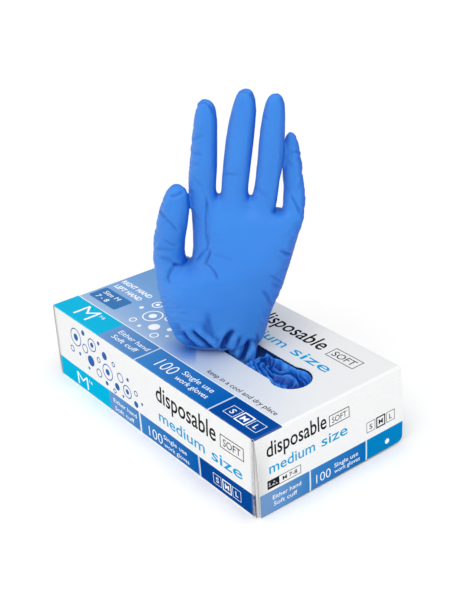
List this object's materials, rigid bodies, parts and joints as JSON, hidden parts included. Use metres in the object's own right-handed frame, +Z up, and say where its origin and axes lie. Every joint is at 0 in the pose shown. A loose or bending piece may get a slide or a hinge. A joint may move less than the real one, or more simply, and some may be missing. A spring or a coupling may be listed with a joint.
{
  "type": "disposable glove dispenser carton",
  "caption": "Flat folded-board dispenser carton of disposable gloves, slotted top, opening end flaps, one glove standing out of the slot.",
  "frame": {"origin": "centre of the carton's underside", "axes": "+X along the carton towards its slot end, +Y towards its back side, +Z up out of the slot"},
  "size_m": [0.24, 0.128, 0.2422],
  "materials": {
    "printed_board": "satin",
    "white_board": "satin",
    "raw_board": "matte",
    "glove_film": "satin",
    "packed_film": "satin"
  },
  "bodies": {
    "carton": {"back_side_panel": "white_board", "bottom_panel": "white_board", "front_side_panel": "white_board", "glued_seam_flap": "raw_board", "packed_gloves_01": "packed_film", "packed_gloves_02": "packed_film", "packed_gloves_03": "packed_film", "packed_gloves_04": "packed_film", "packed_gloves_05": "packed_film", "packed_gloves_06": "packed_film", "packed_gloves_07": "packed_film", "packed_gloves_08": "packed_film", "packed_gloves_09": "packed_film", "packed_gloves_10": "packed_film", "packed_gloves_11": "packed_film", "packed_gloves_12": "packed_film", "packed_gloves_13": "packed_film", "packed_gloves_14": "packed_film", "packed_gloves_15": "packed_film", "packed_gloves_16": "packed_film", "packed_gloves_17": "packed_film", "packed_gloves_18": "packed_film", "packed_gloves_19": "packed_film", "packed_gloves_20": "packed_film", "packed_gloves_21": "packed_film", "packed_gloves_22": "packed_film", "packed_gloves_23": "packed_film", "packed_gloves_24": "packed_film", "stack_top_glove": "glove_film", "third_glove": "glove_film", "top_panel": "printed_board"},
    "standing_glove": {"standing_glove": "glove_film"},
    "next_glove": {"next_glove": "glove_film"},
    "right_end_outer_flap": {"right_end_outer_flap": "white_board"},
    "right_end_inner_flap": {"right_end_inner_flap": "raw_board"},
    "right_end_front_dust_flap": {"right_end_front_dust_flap": "raw_board"},
    "right_end_back_dust_flap": {"right_end_back_dust_flap": "raw_board"},
    "left_end_outer_flap": {"left_end_outer_flap": "white_board"},
    "left_end_inner_flap": {"left_end_inner_flap": "raw_board"},
    "left_end_front_dust_flap": {"left_end_front_dust_flap": "raw_board"},
    "left_end_back_dust_flap": {"left_end_back_dust_flap": "raw_board"}
  },
  "joints": [
    {"name": "glove_pull", "type": "slide", "parent": "carton", "child": "standing_glove", "axis": [0, 0, 1], "range_m": [0, 0.12]},
    {"name": "next_glove_rise", "type": "slide", "parent": "carton", "child": "next_glove", "axis": [0, 0, 1], "range_m": [0, 0.03]},
    {"name": "right_end_open", "type": "hinge", "parent": "carton", "child": "right_end_outer_flap", "pos_m": [0.12, 0, 0.06], "axis": [0, -1, 0], "range_deg": [0, 135]},
    {"name": "right_inner_flap_fold", "type": "hinge", "parent": "carton", "child": "right_end_inner_flap", "pos_m": [0.1191, 0, 0], "axis": [0, 1, 0], "range_deg": [0, 90]},
    {"name": "right_front_dust_flap_fold", "type": "hinge", "parent": "carton", "child": "right_end_front_dust_flap", "pos_m": [0.1182, -0.064, 0.03], "axis": [0, 0, -1], "range_deg": [0, 54]},
    {"name": "right_back_dust_flap_fold", "type": "hinge", "parent": "carton", "child": "right_end_back_dust_flap", "pos_m": [0.1182, 0.064, 0.03], "axis": [0, 0, 1], "range_deg": [0, 54]},
    {"name": "left_end_open", "type": "hinge", "parent": "carton", "child": "left_end_outer_flap", "pos_m": [-0.12, 0, 0.06], "axis": [0, 1, 0], "range_deg": [0, 135]},
    {"name": "left_inner_flap_fold", "type": "hinge", "parent": "carton", "child": "left_end_inner_flap", "pos_m": [-0.1191, 0, 0], "axis": [0, -1, 0], "range_deg": [0, 90]},
    {"name": "left_front_dust_flap_fold", "type": "hinge", "parent": "carton", "child": "left_end_front_dust_flap", "pos_m": [-0.1182, -0.064, 0.03], "axis": [0, 0, 1], "range_deg": [0, 54]},
    {"name": "left_back_dust_flap_fold", "type": "hinge", "parent": "carton", "child": "left_end_back_dust_flap", "pos_m": [-0.1182, 0.064, 0.03], "axis": [0, 0, -1], "range_deg": [0, 54]}
  ],
  "couplings": [
    {"joint": "next_glove_rise", "follows": "glove_pull", "ratio": 0.25},
    {"joint": "right_inner_flap_fold", "follows": "right_end_open", "ratio": 0.6666},
    {"joint": "right_front_dust_flap_fold", "follows": "right_end_open", "ratio": 0.4},
    {"joint": "right_back_dust_flap_fold", "follows": "right_end_open", "ratio": 0.4},
    {"joint": "left_inner_flap_fold", "follows": "left_end_open", "ratio": 0.6666},
    {"joint": "left_front_dust_flap_fold", "follows": "left_end_open", "ratio": 0.4},
    {"joint": "left_back_dust_flap_fold", "follows": "left_end_open", "ratio": 0.4}
  ]
}
